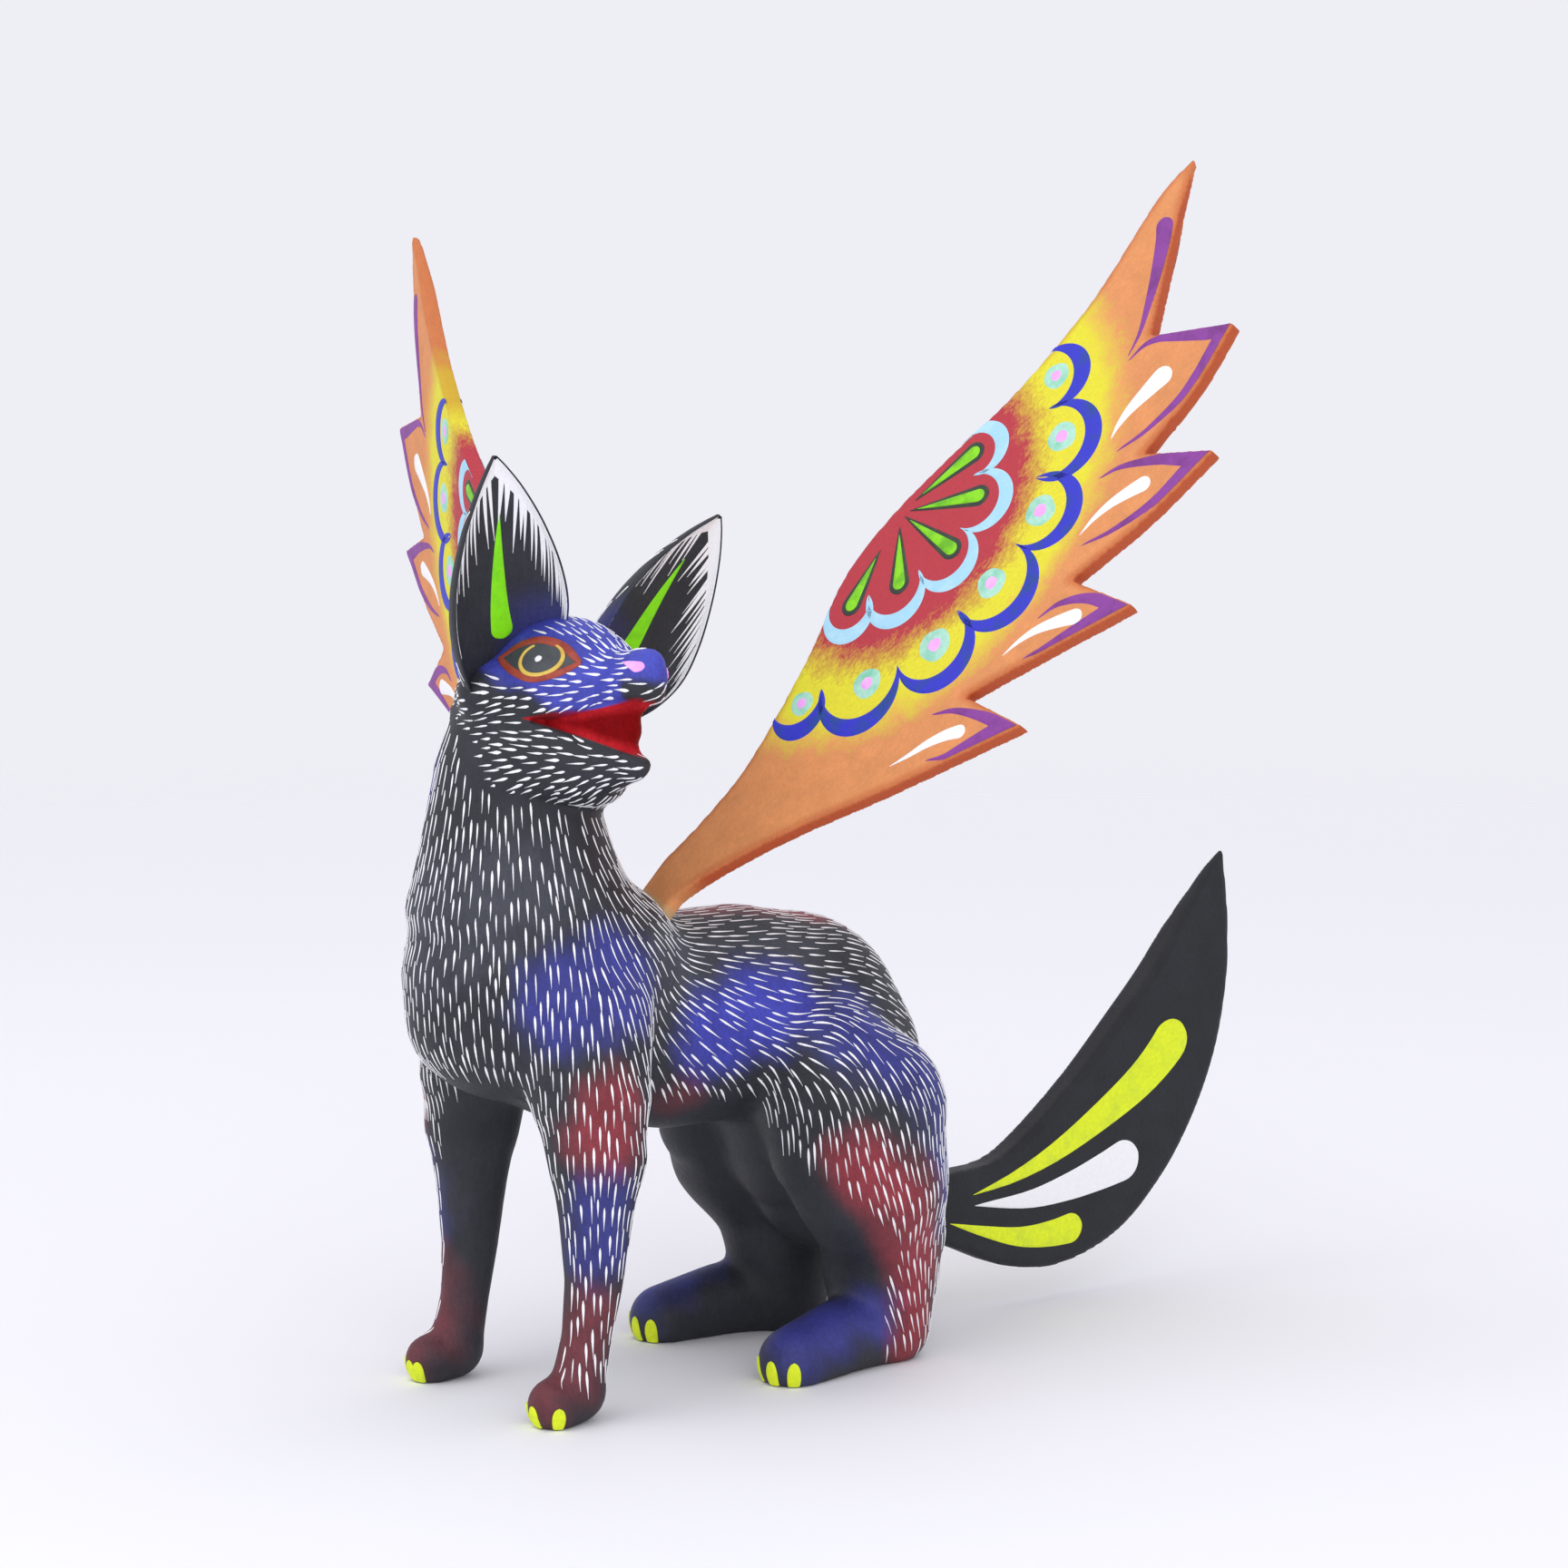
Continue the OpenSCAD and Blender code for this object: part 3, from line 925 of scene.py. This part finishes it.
# Each paw's middle, its radius, its claws' height and their bearings from straight ahead
PAWS = [((27.5, -55), 6.8, 5.8, (-38, 1, 65)), ((-27.5, -55), 6.8, 5.8, (-45, -1, 24)),
        ((28, 16), 8.8, 6.6, (-30, 14, 55)), ((-28, 16), 8.8, 6.6, (-46, -2, 33))]


def paint_claws(figure):
    claws = Coat()
    at = np.linspace(0, 1, 16)
    for centre, radius, top, bearings in PAWS:
        for bearing in bearings:
            def place(u, v, lift):
                angle = math.radians(bearing) + u / radius
                out = np.stack([np.sin(angle), -np.cos(angle), 0 * angle], -1)
                start = np.array([*centre, 0]) + out * (radius + 8)
                start[..., 2] = v
                return figure.settle(figure.march(start, -out), lift)
            path = np.stack([0 * at, 0.5 + (top - 0.5) * at], -1)
            ribbon(claws, place, path, 2.1 * np.sqrt(1 - at ** 2.8) * (0.9 + 0.1 * at), 0.35)
    claws.piece("claws", "root", "painted_body", LIME_PAINT)


# ---- wings

ROOT_EDGE = [(3, -5.5), (12, -10), (23, -17), (36, -26.5), (55, -42), (86, -65.5)]
FEATHERS = [[(84, -45), (104, -58), (124, -71.5)], [(121, -50.5), (142, -58), (165, -63)],
            [(155.5, -45), (176, -46), (193.5, -43.5)], [(181, -23.5), (204, -10), (224.5, 1.5)]]
LEADING_EDGE = [(224.5, 1.5), (214, 3), (182, 0), (153, 2.5), (131, 8), (110, 12.5), (91, 13), (71, 7),
                (48, 2.5), (34, 1.5), (20, 3)]
EDGE_ROOM = 0.5
ROSETTE = (112, 10)
PETALS = [(-21, 5, 27), (-53, 3, 26.5), (-91, 2, 25), (-135, 4, 23.5), (-168, 10.5, 29)]
ROSE_CUSPS = [(134, 7), (129.5, -3), (117, -10), (103, -7), (91, 2), (83.5, 10.5)]
ROSE_DEPTHS = [13, 14, 14, 13.5, 12.5]
LACE_CUSPS = [(165, 1.5), (153, -10.5), (137, -21), (121, -28.5), (100, -26), (81, -20.5), (65.5, -4.2),
              (53, 4)]
LACE_DEPTHS = [12.5, 17.5, 17, 17.5, 17, 16.5, 11]
DOTS = [(161, -6, 3.7), (149, -20, 4.2), (131, -29, 4.4), (110, -30, 4.2), (90, -27, 4.6), (73, -16, 4.2),
        (59.7, -1.8, 3.4)]
# The outer lines of the two purple bands on each feather, from their thin roots to its tip
HOOKS = [([(76, -40), (80.5, -45), (84, -54), (85.9, -65)],
          [(66, -47.5), (69, -52), (75, -57.4), (85.9, -65)]),
         ([(109, -49.5), (115.5, -52), (121.2, -59), (123.8, -71)],
          [(99, -53.5), (104, -57.6), (112, -63.2), (123.8, -71)]),
         ([(145, -38.5), (151, -42), (158.5, -51.5), (164.8, -62.6)],
          [(129, -47), (136, -53), (147, -58.7), (164.8, -62.6)]),
         ([(173, -23), (180, -24.5), (187.5, -33), (193.3, -43.2)],
          [(152.5, -38), (161, -42.6), (174, -45.6), (193.3, -43.2)])]
HOOK_WIDTH = 4.0
DROPS = [([(60, -39), (65, -42), (69.5, -44.5), (74, -48), (77.5, -52)], 1.9),
         ([(97, -47.5), (102, -49), (107, -51.8), (112, -56.5), (115.5, -60.5)], 2.2),
         ([(131, -44.5), (136, -45), (141, -46.5), (146, -49.2), (151, -52.5)], 2.2),
         ([(154.5, -34), (158, -33.2), (163, -33.2), (170, -34.5), (176.5, -36)], 2.9)]
TIP_DROP = [(174, -22), (180, -20.6), (187, -17.2), (195, -12.8), (203, -7.8), (208, -3.6)]


def wing_outline():
    half = WING_TENON_W / 2
    parts = [[(0, half), (0, -half)], curve(ROOT_EDGE, np.linspace(0, 1, 22))]
    parts += [curve(feather, np.linspace(0, 1, 8)) for feather in FEATHERS]
    parts += [curve(LEADING_EDGE, np.linspace(0, 1, 40))[1:], [(WING_ROOT, half)]]
    return np.vstack(parts)


def rounded_plate(flat, height, half, radius):
    """Distance to an outline's plate with its edges rounded off."""
    away = np.stack([flat + radius, np.abs(height) - half + radius], -1)
    return np.linalg.norm(np.maximum(away, 0), axis=-1) + np.minimum(away.max(-1), 0) - radius


def wing_half(along):
    """Half a wing's thickness, which thins towards its tip."""
    return WING_T / 2 * (0.55 + 0.45 * ramp(along, LEADING_EDGE[0][0], LEADING_EDGE[0][0] - 26))


def wing_distance(points):
    saw = 0.12 * np.sin(points @ (2.3, 1.1, 0)) * np.sin(points @ (-0.7, 1.9, 0))
    rim = outline_distance(points, wing_outline()) + saw
    blade = rounded_plate(rim, points[..., 2], wing_half(points[..., 0]), EDGE_ROOM)
    half = WING_TENON_W / 2
    tenon = box_distance(points, (-WING_TENON, -half, -WING_T / 2), (2, half, WING_T / 2))
    return np.minimum(blade, tenon)


def wing_layers(points):
    """Where each colour of a wing lies: mm beyond the yellow's and the red's edge, and shares."""
    x, y, z = points.T
    warm = (np.hypot((x - 115) / 66, (y - 8) / 51) - 1) * 51
    hot = (np.hypot((x - 112) / 42, (y - 9) / 37) - 1) * 37
    rim = outline_distance(points, wing_outline())
    lead = np.interp(x, *np.array(LEADING_EDGE[::-1]).T)
    side = ramp(wing_half(x) - np.abs(z), 0.25, 0.7) * ramp(lead - y, 1.5, 4)
    burnt = 0.5 * ramp(rim, -2.4, -0.4) * ramp(hot, 2, 12)
    return {"warm": warm, "hot": hot, "sawn": np.maximum(side, burnt) * ramp(x, 2, 12),
            "bare": ramp(x, 1.0, -1.0), "grain": points}


def arch(a, b, depth, away):
    """An arc of a circle from a to b that stands depth out from them, away from a place."""
    a, b = np.array(a, float), np.array(b, float)
    middle, chord = (a + b) / 2, b - a
    out = unit(np.array([chord[1], -chord[0]]))
    if out @ (middle - away) < 0:
        out = -out
    radius = (chord @ chord / 4 + depth ** 2) / (2 * depth)
    centre = middle + out * (depth - radius)
    swing = math.acos(np.clip((radius - depth) / radius, -1, 1))
    turn = np.linspace(-swing, swing, 34)
    along = unit(chord)
    return centre + radius * (np.cos(turn)[:, None] * out + np.sin(turn)[:, None] * along)


def inside(points, margin):
    """Moves places on a wing's face in until they are margin inside its outline."""
    outline = wing_outline()
    for _ in range(4):
        spare = outline_distance(points, outline) + margin
        slope = [outline_distance(points + e, outline) - outline_distance(points - e, outline)
                 for e in 0.05 * np.eye(2)]
        points = points - np.clip(spare, 0, None)[:, None] * unit(np.stack(slope, -1))
    return points


def scallops(coat, place, cusps, depths, width, away):
    """A row of crescents between cusps, each thick at its top and sharp at its ends."""
    for a, b, depth in zip(cusps, cusps[1:], depths):
        filled(coat, place, *(inside(arch(a, b, d, away), EDGE_ROOM) for d in (depth, depth - width)))


def hook(coat, place, arms):
    """Two bands along a feather's edges, which grow from nothing and fill its tip together."""
    at = np.linspace(0, 1, 34)
    edges = [inside(curve(arm, at), EDGE_ROOM) for arm in arms]
    breadth = HOOK_WIDTH * (0.04 + 0.96 * np.minimum(at / 0.75, 1) ** 0.8)[:, None]
    for edge, other, thick in zip(edges, edges[::-1], (PAINT, 1.4 * PAINT)):
        gap = (other - edge) / 2
        share = np.minimum(breadth / np.maximum(np.linalg.norm(gap, axis=-1, keepdims=True), 1e-6), 1.3)
        filled(coat, place, edge, edge + gap * share, thick)


def wing_face(side, face):
    def place(u, v, lift):
        return wing_world(np.stack([u, v, face * (wing_half(u) + lift)], -1), side)
    return place


def paint_wing(side):
    name = "wing_" + side
    low, high = (-16, -76, -5), (229, 17, 5)
    plate = Field(low, high, PLATE_GRID)
    plate.add(wing_distance, low, high)
    points, faces = plate.skin()
    if WINGS[side][2] < 0:
        faces = faces[:, ::-1]
    wing = make_piece(name + "_plate", name, WING_PAINT, wing_world(points, side), faces,
                      wing_layers(points))
    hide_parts(name)
    sky, blue, dark, lime, mint, pink, purple, white = (Coat() for _ in range(8))
    for face in (1, -1):
        place = wing_face(side, face)
        scallops(sky, place, ROSE_CUSPS, ROSE_DEPTHS, 4.5, ROSETTE)
        scallops(blue, place, LACE_CUSPS, LACE_DEPTHS, 5.2, ROSETTE)
        for angle, start, end in PETALS:
            way = np.array([math.cos(math.radians(angle)), math.sin(math.radians(angle))])
            drop(dark, place, [ROSETTE + way * t for t in (start, (start + end) / 2, end)], 3.1)
            drop(lime, place, [ROSETTE + way * (start + 2.5), ROSETTE + way * (end - 1.2)], 2.0, 0.3)
        for x, y, radius in DOTS:
            disc(mint, place, (x, y), radius)
            disc(pink, place, (x, y), 0.5 * radius, 0.26)
        for arms, (line, half) in zip(HOOKS, DROPS):
            hook(purple, place, arms)
            drop(white, place, line, half)
        drop(purple, place, TIP_DROP, 2.4)
    pieces = {"sky_scallops": (sky, SKY_PAINT), "blue_scallops": (blue, BLUE_PAINT),
              "petal_outlines": (dark, DARK_PAINT), "petals": (lime, LEAF_PAINT),
              "dot_rings": (mint, MINT_PAINT), "dots": (pink, PINK_PAINT),
              "purple_hooks": (purple, PURPLE_PAINT), "white_drops": (white, WHITE_PAINT)}
    for key, (coat, material) in pieces.items():
        coat.piece(name + "_" + key, name, "painted_wing", material)


# ---- tail

TAIL_BELOW = [(76, 24.5), (90, 18.5), (106, 12), (125, 10), (145, 16), (161, 29), (172.8, 45), (181, 63),
              (185, 82), (186.5, 102), (185.5, 118)]
TAIL_ABOVE = [(185.5, 118), (180, 113.5), (174.5, 107.5), (166.5, 98), (158, 87.5), (147, 76.3),
              (130, 60), (112, 46), (101, 40.5), (88, 39.5), (76, 37.5)]
# The painted drops: each a line and its half width
TAIL_DROPS = {
    "lime": [([(94, 33), (108, 36), (123, 41.3), (139, 49.2), (153, 57.5), (162.3, 65.5), (167, 72)], 6.4),
             ([(86, 26.3), (98, 22.6), (110, 19.6), (121, 19), (132, 20)], 4.3)],
    "white": [([(94.5, 30), (113, 29.3), (127, 31), (138, 33.4), (146, 35.6), (152, 37.6)], 5.9)],
}


def tail_half(points):
    """Half the tail's thickness, which thins towards the tip."""
    reach = np.linalg.norm(points[..., :2] - np.array(TAIL_BELOW[-1]), axis=-1)
    return TAIL_T / 2 * (0.3 + 0.7 * ramp(reach, 0, 40))


def tail_distance(points):
    """Distance to the tail: its side view is in the first two coordinates."""
    half = TAIL_TENON_H / 2
    outline = np.vstack([[(TAIL_Y, TAIL_Z + half), (TAIL_Y, TAIL_Z - half)],
                         curve(TAIL_BELOW, np.linspace(0, 1, 44)),
                         curve(TAIL_ABOVE, np.linspace(0, 1, 40))[1:]])
    blade = rounded_plate(outline_distance(points, outline), points[..., 2], tail_half(points), 1.2)
    peg = box_distance(points, (TAIL_START_Y, TAIL_Z - half, -TAIL_T / 2),
                       (TAIL_Y + 4, TAIL_Z + half, TAIL_T / 2))
    return np.minimum(blade, peg)


def paint_tail():
    low, high = (TAIL_START_Y - 3, 6, -6), (192, 120, 6)
    plate = Field(low, high, TAIL_GRID)
    plate.add(tail_distance, low, high)
    points, faces = plate.skin()
    bare = ramp(points[:, 0], TAIL_Y - 6, TAIL_Y - 9)[:, None]
    tint = CHARCOAL * 0.6 * (1 - bare) + RAW_WOOD * bare
    tail = make_piece("tail_blade", "tail", WOOD_PAINT, points[:, [2, 0, 1]], faces,
                      {"tint": tint, "grain": points, "lip": np.full(len(points), 9.0)})
    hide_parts("tail")
    for key, material in (("lime", LIME_PAINT), ("white", WHITE_PAINT)):
        coat = Coat()
        for face in (1, -1):
            def place(u, v, lift):
                return np.stack([face * (tail_half(np.stack([u, v], -1)) + lift), u, v], -1)
            for line, half in TAIL_DROPS[key]:
                drop(coat, place, line, half)
        coat.piece("tail_" + key + "_drops", "tail", "painted_tail", material)


# ---- setting

# Half the floor's side, and between which distances it fades, in metres
FLOOR_HALF = 3.0
FLOOR_FADE = (0.45, 1.5)


def floor():
    """A pale floor that fades out into the backdrop's own light."""
    mesh = bpy.data.meshes.new("floor")
    corners = [(x * FLOOR_HALF, y * FLOOR_HALF, 0) for x, y in ((-1, -1), (1, -1), (1, 1), (-1, 1))]
    mesh.from_pydata(corners, [], [(0, 1, 2, 3)])
    board = bpy.data.objects.new("floor", mesh)
    bpy.context.scene.collection.objects.link(board)
    material, tree = new_material("pale_floor")
    place = add(tree, "TexCoord").outputs["Object"]
    reach = add(tree, "VectorMath", {"operation": "LENGTH"}, _0=place).outputs["Value"]
    shader = tree.nodes["Principled BSDF"]
    shader.inputs["Base Color"].default_value = (0.91, 0.91, 0.935, 1)
    shader.inputs["Roughness"].default_value = 0.75
    clear = add(tree, "BsdfTransparent")
    mix = add(tree, "MixShader", _0=remap(tree, reach, FLOOR_FADE, (1.0, 0.0)),
              _1=clear.outputs["BSDF"], _2=shader.outputs["BSDF"])
    tree.links.new(mix.outputs["Shader"], tree.nodes["Material Output"].inputs["Surface"])
    mesh.materials.append(material)


def backdrop():
    world = bpy.data.worlds.new("pale_backdrop")
    world.use_nodes = True
    background = world.node_tree.nodes["Background"]
    background.inputs["Color"].default_value = (0.86, 0.855, 0.915, 1)
    background.inputs["Strength"].default_value = 1.0
    bpy.context.scene.world = world


def seen_from(azimuth, elevation):
    a, e = math.radians(azimuth), math.radians(elevation)
    return Vector((math.sin(a) * math.cos(e), -math.cos(a) * math.cos(e), math.sin(e)))


def soft_light(name, azimuth, elevation, distance, size, power):
    data = bpy.data.lights.new(name, "AREA")
    data.shape, data.size, data.energy = "DISK", size, power
    light = bpy.data.objects.new(name, data)
    way = seen_from(azimuth, elevation)
    light.location = MIDDLE + way * distance
    light.rotation_euler = way.to_track_quat("Z", "Y").to_euler()
    bpy.context.scene.collection.objects.link(light)


# The camera looks at a place beside and in front of the middle of the CAD box
MIDDLE = (Vector(CAD_BOX[0]) + Vector(CAD_BOX[1])) / 2
AIM = MIDDLE + Vector((0.0705, -0.0569, 0.0010))


def camera():
    data = bpy.data.cameras.new("camera")
    data.lens, data.sensor_width = 95.78, 36.0
    view = bpy.data.objects.new("camera", data)
    way = seen_from(53.0, 6.46)
    view.location = AIM + way * 1.0
    view.rotation_euler = way.to_track_quat("Z", "Y").to_euler()
    bpy.context.scene.collection.objects.link(view)
    bpy.context.scene.camera = view


WOOD_PAINT = thinned_paint()
WING_PAINT = wing_paint()
WHITE_PAINT = thick_paint("white_paint", "f6f6f8", thin=0.04)
DARK_PAINT = thick_paint("dark_green_paint", "303a34", "3c5230")
IRIS_PAINT = thick_paint("iris_paint", "4c5054", "3c4044")
RUST_PAINT = thick_paint("rust_paint", "a84a38", "8c3226")
GOLD_PAINT = thick_paint("gold_paint", "e4c45c", "c8a040")
PINK_PAINT = thick_paint("pink_paint", "f4a8f4", "f8c0f8", thin=0.04)
LIME_PAINT = thick_paint("lime_yellow_paint", "e4f41c", "d2e62c")
GREEN_PAINT = thick_paint("bright_green_paint", "88ec00", "74d808", thin=0.06)
LEAF_PAINT = thick_paint("leaf_green_paint", "8ade10", "5fae18")
SKY_PAINT = thick_paint("sky_blue_paint", "a6d8f0", "b8e2f4", thin=0.05)
BLUE_PAINT = thick_paint("royal_blue_paint", "3034c4", "1f4a86")
MINT_PAINT = thick_paint("mint_paint", "b0e2cc", "7cccae")
PURPLE_PAINT = thick_paint("purple_paint", "8a3e9a", "74307e")

bpy.context.scene.view_settings.view_transform = "Standard"
camera()
floor()
backdrop()
soft_light("key", 5, 50, 1.6, 1.5, 6)
soft_light("fill", 62, 24, 1.6, 1.5, 5)

TORSO, HEAD, FIGURE = carve_body()
SURFACE, BODY_FACES = FIGURE.skin()
ON_HEAD = ramp(HEAD.sample(SURFACE) - TORSO.sample(SURFACE), 0.6, -0.6)
LIP = np.where(ON_HEAD > 0.5, mouth_distance(head_local(SURFACE)), 9.0)
carving = make_piece("carved_body", "root", WOOD_PAINT, SURFACE, BODY_FACES,
                     {"tint": body_tint(SURFACE, ON_HEAD), "grain": SURFACE, "lip": LIP})
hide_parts("body")
paint_ears(1, "ear_left")
paint_ears(-1, "ear_right")
paint_fur(TORSO, HEAD, FIGURE, SURFACE)
paint_face(FIGURE)
paint_claws(FIGURE)
for wing_side in WINGS:
    paint_wing(wing_side)
paint_tail()
